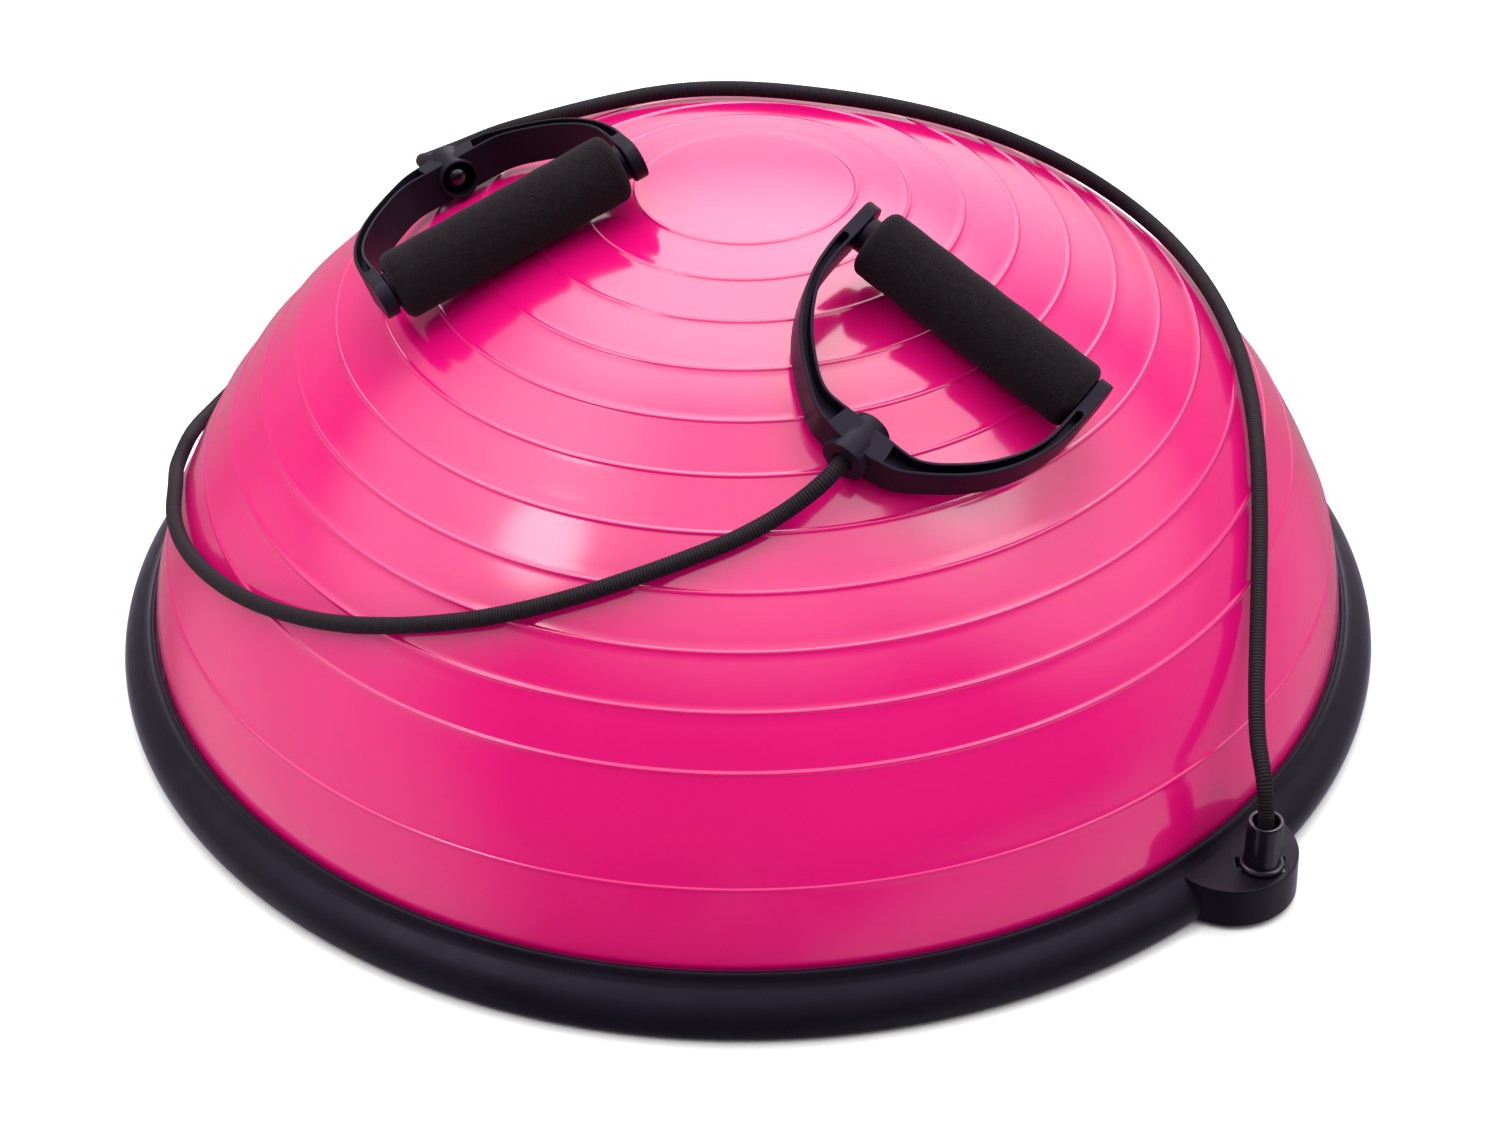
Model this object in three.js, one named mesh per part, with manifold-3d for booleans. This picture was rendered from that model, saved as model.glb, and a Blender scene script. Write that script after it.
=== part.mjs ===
// Balance dome trainer: an inflated half-ball in a round moulded base, with two
// elastic cords that plug into lugs on the base and end in D-shaped grip handles.
// Millimetres, +Z up. The origin is on the floor, under the centre of the base.
import * as THREE from "three";
import { mergeVertices } from "three/addons/utils/BufferGeometryUtils.js";
import Module from "manifold-3d";

const wasm = await Module();
wasm.setup();

// ---------- driving dimensions ----------
const DOME_R = 291.4; // widest radius of the dome, where it enters the base
const DOME_RISE = 213.9; // height of the dome above its widest circle
const DOME_Z = 32.43; // height of the widest circle
const DOME_N = 2.31742; // the dome's section: z = DOME_Z + DOME_RISE (1 - (r/R)^N)^(1/M)
const DOME_M = 1.46942;
const DOME_LEAN = [1.47, -3.0]; // the inflated dome sits this far off the base's centre, above its foot
const DOME_WALL = 2.5;
const FLANGE_R = 295.4; // bead round the dome's foot, clamped by the base
const FLANGE_TOP = 14.1;
const FLOOR_Z = 9.5; // underside of the dome's own floor

const RING_LOW = 2.5; // bottom edge of the base ring
const LUG_AZ = (-44.4 * Math.PI) / 180;
const LUG_CENTRE_R = 300.5;
const LUG_RADIUS = 30.5;
const LUG_TOP = 22.5;
const LUG_SKIN = 4; // thickness of the lug's top
const ANCHOR_X = 226.8; // axis of the first cord anchor; the second is half a turn round
const ANCHOR_Y = -222.9;
const ANCHOR_TOP = 48.5;

const PLATE_R = 303.9;
const PLATE_LOW = 5.2;
const PLATE_TOP = 9.2;
const FOOT_PCD_R = 255;
const FOOT_COUNT = 6;
const SCREW_PCD_R = 300.2;
const SCREW_COUNT = 8;

const GRIP_HALF = 60.5; // inner faces of the yoke's end plates
const PLATE_T = 6.5; // end plate thickness
const YOKE_DEPTH = 18;
const HUB_IN = 75.5; // hub's ends, measured from the grip axis
const HUB_OUT = 97.5;
const HUB_R = 10.5;
const FOAM_LEN = 115.5;
const FOAM_R = 16;
const CORE_R = 8.5;
const CORD_R = 3.75;

// Handle frames: centre of the grip, the grip's axis, the way to the hub, and away from the dome.
const HANDLES = [
  {
    at: [-105.68, -42.01, 247.54],
    x: [0.8635, 0.3987, 0.30888],
    y: [-0.35165, 0.91496, -0.19797],
    foamShift: -0.5,
  },
  {
    at: [99.3, -105.07, 236.67],
    x: [-0.77258, 0.47045, 0.42638],
    y: [-0.60271, -0.75459, -0.25951],
    foamShift: -2.2,
  },
];

// Cord centre lines, from the anchor to the hub (first) and from the hub to the anchor (second).
const CORD_1 = [[226.8,-222.9,24.5],[226.9,-223.2,44.9],[225.5,-217.7,63.9],[223.56,-201.73,76.86],[224.31,-184.28,88.28],[226.19,-166.26,98.89],[228.23,-148.23,109.29],[230.24,-129.97,119.24],[232.23,-111.41,128.48],[234.54,-81.94,140.63],[235.49,-52.06,148.86],[234.93,-31.32,153.39],[233.11,-10.27,157.35],[229.55,11.14,160.74],[224.17,32.6,163.87],[216.6,54.18,166.84],[206.28,74.77,170.33],[192.27,89.52,176.85],[175.01,93.55,188.37],[156.52,93.91,200.25],[137.36,93.8,210.55],[117.95,93.52,219.21],[98.32,93.43,226.22],[78.29,93.85,231.53],[58.19,95.09,235.21],[37.8,97.23,237.39],[17.61,101.65,237.65],[-2.5,106.52,236.5],[-22.84,109.81,234.58],[-43.39,109.54,232.49],[-63.55,106.28,230.1],[-83.3,99.0,228.9],[-103.0,98.8,223.3],[-120.7,104.5,214.7],[-138.8,106.7,205.9],[-153.0,93.5,206.8],[-154.0,75.3,215.9],[-147.2,60.0,224.0],[-142.1,52.7,227.05],[-139.97,47.2,228.24],[-137.57,40.98,229.58]];
const CORD_2 = [[44.63,-173.51,213.13],[40.54,-178.64,211.37],[36.92,-183.17,209.81],[29.4,-188.9,205.1],[14.5,-193.85,195.54],[-3.6,-200.95,188.76],[-22.61,-206.21,183.31],[-42.04,-209.94,177.59],[-61.58,-212.07,171.4],[-81.13,-212.18,164.7],[-100.7,-210.37,157.88],[-119.98,-206.5,151.29],[-148.25,-196.97,141.73],[-174.81,-183.23,132.41],[-191.57,-171.66,126.51],[-207.27,-158.26,120.93],[-221.7,-143.36,115.58],[-234.87,-126.91,110.54],[-246.71,-108.95,105.69],[-257.06,-89.51,101.01],[-265.89,-68.1,96.45],[-272.57,-44.04,93.0],[-276.87,-11.61,87.82],[-280.52,14.79,80.25],[-279.69,27.3,80.04],[-277.97,37.23,80.92],[-277.22,58.16,74.52],[-275.16,77.3,68.48],[-271.66,94.1,64.55],[-266.63,108.81,63.36],[-259.95,120.55,66.48],[-251.81,130.64,72.55],[-242.38,138.31,82.08],[-232.25,145.66,91.82],[-222.04,151.75,101.46],[-213.03,158.88,107.31],[-206.56,166.07,109.84],[-203.63,175.09,107.04],[-204.34,184.33,101.1],[-208.04,194.55,92.3],[-213.44,203.92,83.54],[-219.12,212.57,75.16],[-223.86,219.01,67.83],[-226.7,222.85,60.0],[-226.8,222.9,50.0],[-226.8,222.9,40.0],[-226.8,222.9,24.5]];

// ---------- materials ----------
const mat = (color, roughness, metalness = 0) =>
  new THREE.MeshStandardMaterial({ color, roughness, metalness });
const M = {
  pvc: mat(0xe0307c, 0.28),
  base: mat(0x26222b, 0.5),
  handle: mat(0x2b2830, 0.48),
  foam: mat(0x151315, 0.95),
  cord: mat(0x17151a, 0.8),
  anchor: mat(0x1e1b22, 0.35),
  rubber: mat(0x1a1a1a, 0.85),
  steel: mat(0xb8bcc0, 0.35, 1),
  ball: mat(0x0e0e10, 0.2),
  valve: mat(0xf0eeea, 0.5),
};

// ---------- solids ----------
// A geometry, moved by an optional matrix, as a manifold solid with its faces outwards.
function solid(geometry, matrix) {
  const g = geometry.clone();
  g.deleteAttribute("normal");
  g.deleteAttribute("uv");
  if (matrix) g.applyMatrix4(matrix);
  const merged = mergeVertices(g, 1e-4);
  const make = (tri) =>
    new wasm.Manifold(
      new wasm.Mesh({
        numProp: 3,
        vertProperties: new Float32Array(merged.attributes.position.array),
        triVerts: tri,
      }),
    );
  const tri = new Uint32Array(merged.index.array);
  const made = make(tri);
  if (made.volume() >= 0) return made;
  for (let i = 0; i < tri.length; i += 3)
    [tri[i + 1], tri[i + 2]] = [tri[i + 2], tri[i + 1]];
  return make(tri);
}

function geometryOf(s) {
  const m = s.getMesh();
  const v = new Float32Array(m.numVert * 3);
  for (let i = 0; i < m.numVert; i++)
    v.set(m.vertProperties.subarray(i * m.numProp, i * m.numProp + 3), i * 3);
  const g = new THREE.BufferGeometry();
  g.setAttribute("position", new THREE.BufferAttribute(v, 3));
  g.setIndex(new THREE.BufferAttribute(new Uint32Array(m.triVerts), 1));
  g.computeVertexNormals();
  return g;
}

const at = (x, y, z) => new THREE.Matrix4().makeTranslation(x, y, z);
const basis = (x, y, z, p = [0, 0, 0]) =>
  new THREE.Matrix4()
    .makeBasis(
      new THREE.Vector3(...x),
      new THREE.Vector3(...y),
      new THREE.Vector3(...z),
    )
    .setPosition(...p);

// Turned solid about Z from [r, z] points.
function turned(points, segments, matrix) {
  const pts = points.map(([r, z]) => new THREE.Vector2(r, z));
  const closed = points[0][0] > 1e-9 || points[points.length - 1][0] > 1e-9;
  if (closed) pts.push(pts[0].clone());
  const g = new THREE.LatheGeometry(pts, segments);
  g.applyMatrix4(basis([1, 0, 0], [0, 0, 1], [0, -1, 0]));
  return solid(g, matrix);
}

// Prism along +Z from z0 to z1 on a list of [x, y] points.
function prism(points, z0, z1, matrix) {
  const shape = new THREE.Shape(points.map(([x, y]) => new THREE.Vector2(x, y)));
  const g = new THREE.ExtrudeGeometry(shape, {
    depth: z1 - z0,
    bevelEnabled: false,
    curveSegments: 1,
  });
  g.applyMatrix4(at(0, 0, z0));
  return solid(g, matrix);
}

const drum = (r, z0, z1, segments, matrix) =>
  turned([[0, z0], [r, z0], [r, z1], [0, z1]], segments, matrix);
const block = (x0, x1, y0, y1, z0, z1, matrix) =>
  prism([[x0, y0], [x1, y0], [x1, y1], [x0, y1]], z0, z1, matrix);
const around = (a) => new THREE.Matrix4().makeRotationZ(a);
const polar = (r, a) => [r * Math.cos(a), r * Math.sin(a)];

const root = new THREE.Group();
function add(name, s, material, parent = root) {
  const mesh = new THREE.Mesh(s.isBufferGeometry ? s : geometryOf(s), material);
  mesh.name = name;
  parent.add(mesh);
  return mesh;
}

// ---------- base ring ----------
// Hooked section: rounded outer skirt, raised lip beside the dome, and an inner wall
// that presses on the dome's bead.
const RING = [
  [305.4, RING_LOW], [308.2, RING_LOW], [309.4, 5], [309.5, 9], [308.2, 13.6],
  [305.0, 17.8], [301.4, 20.8], [298.7, 22.6], [296.4, 25.2], [295.2, 27.4],
  [294.2, 28.2], [293.0, 28.2], [292.3, 27.4], [292.3, 14.4], [294.9, 14.4],
  [294.9, 21.0], [296.6, 20.4], [299.6, 18.2], [303.2, 15.2], [305.6, 12.2],
  [306.6, 9], [306.5, 5],
];
let ring = turned(RING, 60);
const lugSpots = [LUG_AZ, LUG_AZ + Math.PI];
for (const a of lugSpots) {
  const [cx, cy] = polar(LUG_CENTRE_R, a);
  const outside = drum(306, 0, 40, 60);
  ring = ring.add(
    turned(
      [[0, RING_LOW], [LUG_RADIUS + 0.6, RING_LOW], [LUG_RADIUS, LUG_TOP - 0.8], [LUG_RADIUS - 0.8, LUG_TOP], [0, LUG_TOP]],
      40,
      at(cx, cy, 0),
    ).subtract(outside),
  );
}
// The lug's flat top runs in over the sloping skirt to the foot of the lip.
for (const a of lugSpots) {
  const [cx, cy] = polar(LUG_CENTRE_R, a);
  const shelf = turned([[297.6, LUG_TOP - 3], [309, LUG_TOP - 9], [309, LUG_TOP], [298.2, LUG_TOP]], 60);
  ring = ring.add(shelf.intersect(drum(LUG_RADIUS - 0.4, 0, LUG_TOP, 40, at(cx, cy, 0))));
}
for (let i = 0; i < 2; i++) {
  const a = lugSpots[i];
  const [cx, cy] = polar(LUG_CENTRE_R, a);
  // hollow under the lug, open below and open to the inside of the skirt
  ring = ring.subtract(
    drum(LUG_RADIUS - 3, 0, LUG_TOP - LUG_SKIN, 40, at(cx, cy, 0)).subtract(drum(303.5, -1, 40, 60)),
  );
  // round hole with two bayonet notches
  const s = i === 0 ? 1 : -1;
  const place = at(s * ANCHOR_X, s * ANCHOR_Y, 0);
  ring = ring.subtract(drum(8.2, 10, 30, 24, place));
  ring = ring.subtract(block(-11.3, 11.3, -5.1, 5.1, 10, 30, place));
}
// screw bosses under the skirt
const screwAngles = [...Array(SCREW_COUNT).keys()].map(
  (k) => LUG_AZ + ((k + 0.5) * 2 * Math.PI) / SCREW_COUNT,
);
for (const a of screwAngles) {
  const [x, y] = polar(SCREW_PCD_R, a);
  ring = ring.add(drum(4, 9.6, 17.2, 12, at(x, y, 0)));
}
for (const a of screwAngles) {
  const [x, y] = polar(SCREW_PCD_R, a);
  ring = ring.subtract(drum(2.2, 8, 15.4, 10, at(x, y, 0)));
}
add("base_ring", ring, M.base);

// ---------- base plate ----------
let plate = turned(
  [
    [22, 3], [25, 3], [25, PLATE_LOW], [178, PLATE_LOW], [178, 3], [181, 3], [181, PLATE_LOW],
    [290, PLATE_LOW], [290, 3], [292.5, 3], [292.5, PLATE_LOW], [PLATE_R, PLATE_LOW], [PLATE_R, PLATE_TOP], [22, PLATE_TOP],
  ],
  48,
);
for (let k = 0; k < 12; k++) {
  const a = LUG_AZ + ((k + 0.5) * 2 * Math.PI) / 12;
  plate = plate.add(block(24, 291, -1.3, 1.3, 3.2, PLATE_LOW + 0.5, around(a)));
}
const footAngles = [...Array(FOOT_COUNT).keys()].map(
  (k) => LUG_AZ + (k * 2 * Math.PI) / FOOT_COUNT,
);
for (const a of footAngles) {
  const [x, y] = polar(FOOT_PCD_R, a);
  plate = plate.subtract(drum(4.3, 0, 12, 12, at(x, y, 0)));
}
for (const a of screwAngles) {
  const [x, y] = polar(SCREW_PCD_R, a);
  plate = plate.subtract(drum(2.3, 0, 12, 10, at(x, y, 0)));
}
add("base_plate", plate, M.base);

footAngles.forEach((a, k) => {
  const [x, y] = polar(FOOT_PCD_R, a);
  add(
    "rubber_foot_" + (k + 1),
    turned([[0, 0], [16.5, 0], [18, 1.2], [18, 4.9], [3.9, 4.9], [3.9, 8.9], [0, 8.9]], 18, at(x, y, 0)),
    M.rubber,
  );
});
screwAngles.forEach((a, k) => {
  const [x, y] = polar(SCREW_PCD_R, a);
  add(
    "base_screw_" + (k + 1),
    turned([[0, 3], [2.9, 3], [3.4, 3.6], [3.4, 4.9], [1.9, 4.9], [1.9, 14], [0, 15]], 10, at(x, y, 0)),
    M.steel,
  );
});

// ---------- dome ----------
const domeZ = (r, rad, rise) =>
  DOME_Z + rise * Math.pow(Math.max(0, 1 - Math.pow(r / rad, DOME_N)), 1 / DOME_M);
const outer = [];
const inner = [];
for (let k = 0; k <= 13; k++) {
  const t = Math.sin((k / 13) * (Math.PI / 2));
  outer.push([DOME_R * t, domeZ(DOME_R * t, DOME_R, DOME_RISE)]);
}
for (let k = 10; k >= 0; k--) {
  const t = Math.sin((k / 10) * (Math.PI / 2));
  inner.push([(DOME_R - DOME_WALL) * t, domeZ((DOME_R - DOME_WALL) * t, DOME_R - DOME_WALL, DOME_RISE - DOME_WALL)]);
}
outer[0][0] = 0;
inner[inner.length - 1][0] = 0;
const shellOuter = turned(
  [...outer, [DOME_R, FLANGE_TOP], [FLANGE_R, FLANGE_TOP], [FLANGE_R, FLOOR_Z], [0, FLOOR_Z]],
  52,
);
const shellInner = turned(
  [[0, FLOOR_Z + DOME_WALL], [DOME_R - DOME_WALL, FLOOR_Z + DOME_WALL], ...inner],
  52,
);
const dome = shellOuter
  .subtract(shellInner)
  .subtract(drum(8, 0, 20, 20))
  .warp((v) => {
    const u = Math.min(1, Math.max(0, (v[2] - 30) / 60));
    const k = u * u * (3 - 2 * u);
    v[0] += DOME_LEAN[0] * k;
    v[1] += DOME_LEAN[1] * k;
  });
add("dome_bladder", dome, M.pvc);

// ---------- valve ----------
const seatLow = turned([[4.6, 6.6], [12, 6.6], [12, 9.2], [7.6, 9.2], [7.6, 12.3], [10, 12.3], [10, 13.6], [4.6, 14.4]], 20);
add("valve_seat", seatLow, M.valve);
add(
  "valve_plug",
  turned([[0, 4.0], [7, 4.0], [8, 4.6], [8, 6.3], [4.2, 6.3], [4.2, 13.2], [3.2, 14.6], [0, 14.6]], 20),
  M.valve,
);

// ---------- cord anchors ----------
function anchorPlug() {
  let s = turned(
    [
      [4.3, 9], [7.8, 9], [7.8, 22.8], [9.4, 22.8], [10, 23.4], [10, 24.6], [9.5, 25.1], [8.1, 25.1],
      [8.1, ANCHOR_TOP - 0.6], [7.6, ANCHOR_TOP], [6.3, ANCHOR_TOP], [5.9, ANCHOR_TOP - 0.5], [5.9, 27.4], [4.3, 25.8],
    ],
    24,
  );
  s = s.add(block(-4.6, 4.6, -10.8, 10.8, 14.2, 18.2).subtract(drum(7.0, 0, 40, 24)).intersect(drum(9.6, 0, 40, 36)));
  return s.subtract(drum(6, 0, 20.2, 20));
}
function anchorStop() {
  return turned([[0, 12.6], [5, 12.6], [5.6, 13.4], [5.6, 19.9], [3.6, 19.9], [3.6, 24.2], [0, 24.2]], 16);
}
[1, -1].forEach((s, i) => {
  const g = new THREE.Group();
  g.position.set(s * ANCHOR_X, s * ANCHOR_Y, 0);
  root.add(g);
  add("anchor_plug_" + (i + 1), anchorPlug(), M.anchor, g);
  add("anchor_stop_" + (i + 1), anchorStop(), M.ball, g);
});

// ---------- cords ----------
function cord(points) {
  const path = new THREE.CatmullRomCurve3(
    points.map((p) => new THREE.Vector3(...p)),
    false,
    "centripetal",
  );
  const section = new THREE.Shape(
    [...Array(8).keys()].map((k) => new THREE.Vector2(...polar(CORD_R, (k * Math.PI) / 4))),
  );
  // one section at each listed point
  path.getPointAt = (u, target) => path.getPoint(u, target);
  path.getTangentAt = (u, target) => path.getTangent(u, target);
  return solid(
    new THREE.ExtrudeGeometry(section, { steps: points.length - 1, bevelEnabled: false, extrudePath: path }),
  );
}
add("cord_1", cord(CORD_1), M.cord);
add("cord_2", cord(CORD_2), M.cord);

// ---------- handles ----------
// Half outlines of the yoke's bow in the handle's own frame, from the end plate to the hub.
const BOW_OUT = [[67, 4], [66.9, 18], [64.9, 33], [60.4, 47], [53.9, 59.4], [46.6, 69], [38.6, 76.8], [30, 84], [21, 90], [8, 93]];
const BOW_IN = [[60.5, 4], [60.5, 20], [59.6, 31], [56.8, 41], [52, 50.6], [45.6, 60], [37.6, 68.6], [29, 76], [22.5, 79], [8, 79.4]];
// The same outlines drawn in by the wall thickness, for the recessed channels.
const SLOT_OUT = [[65.1, 11], [65, 18], [63.1, 32.4], [58.7, 46.1], [52.3, 58.3], [45.2, 67.7], [37.3, 75.4], [28.8, 82.5], [20.2, 88.2], [13.2, 90]];
const SLOT_IN = [[62.4, 11], [62.4, 20], [61.5, 31.5], [58.5, 41.8], [53.6, 51.6], [47.1, 61.3], [38.9, 70.1], [30, 77.7], [22.9, 80.9], [13.2, 81.3]];
function yoke() {
  const h = YOKE_DEPTH / 2;
  const mirror = (p) => p.map(([x, y]) => [-x, y]);
  let s = prism(
    [...BOW_OUT, ...mirror(BOW_OUT).reverse(), ...mirror(BOW_IN), ...BOW_IN.slice().reverse()],
    -h,
    h,
  );
  for (const side of [1, -1]) {
    const loop = [...SLOT_OUT, ...SLOT_IN.slice().reverse()];
    const pts = side === 1 ? loop : mirror(loop);
    s = s.subtract(prism(pts, 2.6, h + 1)).subtract(prism(pts, -h - 1, -2.6));
  }
  // end plates: straight towards the bow, round on the free side
  const end = [[10, -h], [10, h]];
  for (let k = 0; k <= 8; k++) {
    const t = Math.PI / 2 + (k * Math.PI) / 8;
    end.push([-4.5 + h * Math.cos(t), h * Math.sin(t)]);
  }
  for (const side of [1, -1]) {
    const x0 = side === 1 ? GRIP_HALF : -GRIP_HALF - PLATE_T;
    s = s.add(prism(end, 0, PLATE_T, basis([0, 1, 0], [0, 0, 1], [1, 0, 0], [x0, 0, 0])));
    // spigot that the grip turns on
    const a = side === 1 ? 54 : -GRIP_HALF - 3;
    s = s.add(drum(6.2, 0, GRIP_HALF + 3 - 54, 16, basis([0, 1, 0], [0, 0, 1], [1, 0, 0], [a, 0, 0])));
  }
  const toHub = basis([0, 0, 1], [1, 0, 0], [0, 1, 0]);
  s = s.add(turned([[0, HUB_IN], [HUB_R - 0.5, HUB_IN], [HUB_R, HUB_IN + 0.5], [HUB_R, HUB_OUT - 0.8], [HUB_R - 0.8, HUB_OUT], [0, HUB_OUT]], 24, toHub));
  s = s.subtract(drum(7.6, HUB_IN - 2, 90, 20, toHub));
  s = s.subtract(drum(4.4, 80, HUB_OUT + 2, 16, toHub));
  return s;
}
function hubStop() {
  const pts = [[0, 76.6]];
  for (let k = 1; k <= 6; k++) {
    const t = (k / 8) * Math.PI;
    pts.push([6.8 * Math.sin(t), 83.4 - 6.8 * Math.cos(t)]);
  }
  pts.push([3.6, 89.2], [3.6, 90.4], [0, 90.4]);
  return turned(pts, 16, basis([0, 0, 1], [1, 0, 0], [0, 1, 0]));
}
const alongX = (shift) => basis([0, 1, 0], [0, 0, 1], [1, 0, 0], [shift, 0, 0]);
HANDLES.forEach((hd, i) => {
  const x = new THREE.Vector3(...hd.x).normalize();
  const y = new THREE.Vector3(...hd.y);
  y.addScaledVector(x, -x.dot(y)).normalize();
  const z = new THREE.Vector3().crossVectors(x, y);
  const g = new THREE.Group();
  g.quaternion.setFromRotationMatrix(new THREE.Matrix4().makeBasis(x, y, z));
  g.position.set(...hd.at);
  root.add(g);
  const n = i + 1;
  add("handle_yoke_" + n, yoke(), M.handle, g);
  add("hub_stop_" + n, hubStop(), M.ball, g);
  add(
    "grip_core_" + n,
    turned([[6.6, -60.1], [CORE_R, -60.1], [CORE_R, 60.1], [6.6, 60.1]], 20, alongX(0)),
    M.handle,
    g,
  );
  const e = FOAM_LEN / 2;
  add(
    "grip_foam_" + n,
    turned(
      [[8.8, -e], [13.2, -e], [15.2, -e + 1], [FOAM_R, -e + 3.2], [FOAM_R, e - 3.2], [15.2, e - 1], [13.2, e], [8.8, e]],
      22,
      alongX(hd.foamShift),
    ),
    M.foam,
    g,
  );
});

export default root;
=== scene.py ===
import math

import bpy
import bmesh
import numpy as np
from mathutils import Matrix, Vector


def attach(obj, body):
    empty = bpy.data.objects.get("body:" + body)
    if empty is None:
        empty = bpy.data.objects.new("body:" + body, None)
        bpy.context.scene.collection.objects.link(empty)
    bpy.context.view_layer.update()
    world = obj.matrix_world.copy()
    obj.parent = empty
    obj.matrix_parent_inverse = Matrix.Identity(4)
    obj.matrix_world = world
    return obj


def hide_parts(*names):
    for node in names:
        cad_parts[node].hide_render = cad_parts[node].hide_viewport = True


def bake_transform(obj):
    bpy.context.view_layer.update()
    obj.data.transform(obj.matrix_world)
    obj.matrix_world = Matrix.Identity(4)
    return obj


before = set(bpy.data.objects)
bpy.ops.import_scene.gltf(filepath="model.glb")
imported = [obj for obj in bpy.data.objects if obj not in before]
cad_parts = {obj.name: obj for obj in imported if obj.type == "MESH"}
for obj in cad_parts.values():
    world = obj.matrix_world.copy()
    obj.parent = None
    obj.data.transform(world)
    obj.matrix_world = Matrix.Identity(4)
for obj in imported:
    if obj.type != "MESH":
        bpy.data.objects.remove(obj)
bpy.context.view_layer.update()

scene = bpy.context.scene
scene.view_settings.view_transform = "Standard"

# ------------------------------------------------------------------ camera
data = bpy.data.cameras.new("view")
data.sensor_fit = "HORIZONTAL"
data.sensor_width = 36.0
data.lens = 76.44
camera = bpy.data.objects.new("view", data)
scene.collection.objects.link(camera)
ahead = Vector((0, 0.80521, -0.59299)).normalized()
right = Vector((1, 0, 0))
up = right.cross(ahead)
roll = math.radians(-0.653)
right, up = right * math.cos(roll) + up * math.sin(roll), up * math.cos(roll) - right * math.sin(roll)
camera.matrix_world = Matrix((
    (right.x, up.x, -ahead.x, 0.0014),
    (right.y, up.y, -ahead.y, -1.2803),
    (right.z, up.z, -ahead.z, 0.9709),
    (0, 0, 0, 1),
))
scene.camera = camera


# ------------------------------------------------------------------ helpers (millimetres until an object is made)
def catmull(points, step, closed=False):
    """Centripetal Catmull-Rom curve through the points, sampled about every step."""
    p = [np.array(q, float) for q in points]
    n = len(p)
    out = []
    spans = n if closed else n - 1
    for i in range(spans):
        p1, p2 = p[i], p[(i + 1) % n]
        p0 = p[i - 1] if (i > 0 or closed) else 2 * p1 - p2
        p3 = p[(i + 2) % n] if (i + 2 < n or closed) else 2 * p2 - p1
        t0 = 0.0
        t1 = t0 + max(np.linalg.norm(p1 - p0), 1e-6) ** 0.5
        t2 = t1 + max(np.linalg.norm(p2 - p1), 1e-6) ** 0.5
        t3 = t2 + max(np.linalg.norm(p3 - p2), 1e-6) ** 0.5
        k = max(1, int(round(np.linalg.norm(p2 - p1) / step)))
        for j in range(k):
            t = t1 + (t2 - t1) * j / k
            a1 = (t1 - t) / (t1 - t0) * p0 + (t - t0) / (t1 - t0) * p1
            a2 = (t2 - t) / (t2 - t1) * p1 + (t - t1) / (t2 - t1) * p2
            a3 = (t3 - t) / (t3 - t2) * p2 + (t - t2) / (t3 - t2) * p3
            b1 = (t2 - t) / (t2 - t0) * a1 + (t - t0) / (t2 - t0) * a2
            b2 = (t3 - t) / (t3 - t1) * a2 + (t - t1) / (t3 - t1) * a3
            out.append((t2 - t) / (t2 - t1) * b1 + (t - t1) / (t2 - t1) * b2)
    if not closed:
        out.append(p[-1])
    return out


def mesh_of(verts, faces, name="piece"):
    me = bpy.data.meshes.new(name)
    me.from_pydata([tuple(map(float, v)) for v in verts], [], faces)
    me.validate()
    bm = bmesh.new()
    bm.from_mesh(me)
    bmesh.ops.remove_doubles(bm, verts=bm.verts, dist=1e-5)
    bmesh.ops.recalc_face_normals(bm, faces=bm.faces)
    bm.to_mesh(me)
    bm.free()
    return me


def lathe(profile, seg, closed=True, matrix=None, name="turned"):
    """Turned about Z from (r, z) points. closed joins the last point to the first."""
    verts, faces, rings = [], [], []
    for r, z in profile:
        if abs(r) < 1e-6:
            rings.append([len(verts)])
            verts.append((0, 0, z))
        else:
            rings.append([len(verts) + k for k in range(seg)])
            verts += [(r * math.cos(2 * math.pi * k / seg), r * math.sin(2 * math.pi * k / seg), z) for k in range(seg)]
    pairs = list(zip(rings, rings[1:])) + ([(rings[-1], rings[0])] if closed and abs(profile[0][0]) > 1e-6 and abs(profile[-1][0]) > 1e-6 else [])
    for a, b in pairs:
        for k in range(seg):
            m = (k + 1) % seg
            if len(a) == 1 and len(b) == 1:
                continue
            if len(a) == 1:
                faces.append((a[0], b[k], b[m]))
            elif len(b) == 1:
                faces.append((a[k], b[0], a[m]))
            else:
                faces.append((a[k], b[k], b[m], a[m]))
    me = mesh_of(verts, faces, name)
    if matrix is not None:
        me.transform(matrix)
    return me


def inset(outline, d):
    """Outline moved inwards by d; it runs anticlockwise."""
    p = np.array(outline, float)
    a, b = np.roll(p, 1, 0), np.roll(p, -1, 0)
    e1, e2 = p - a, b - p
    e1 /= np.linalg.norm(e1, axis=1)[:, None]
    e2 /= np.linalg.norm(e2, axis=1)[:, None]
    n1, n2 = np.c_[-e1[:, 1], e1[:, 0]], np.c_[-e2[:, 1], e2[:, 0]]
    m = n1 + n2
    m /= np.maximum(np.linalg.norm(m, axis=1), 1e-6)[:, None]
    c = np.maximum((m * n1).sum(1), 0.5)
    return p + m * (d / c)[:, None]


def area2(outline):
    p = np.array(outline, float)
    q = np.roll(p, -1, 0)
    return float((p[:, 0] * q[:, 1] - q[:, 0] * p[:, 1]).sum())


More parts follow.
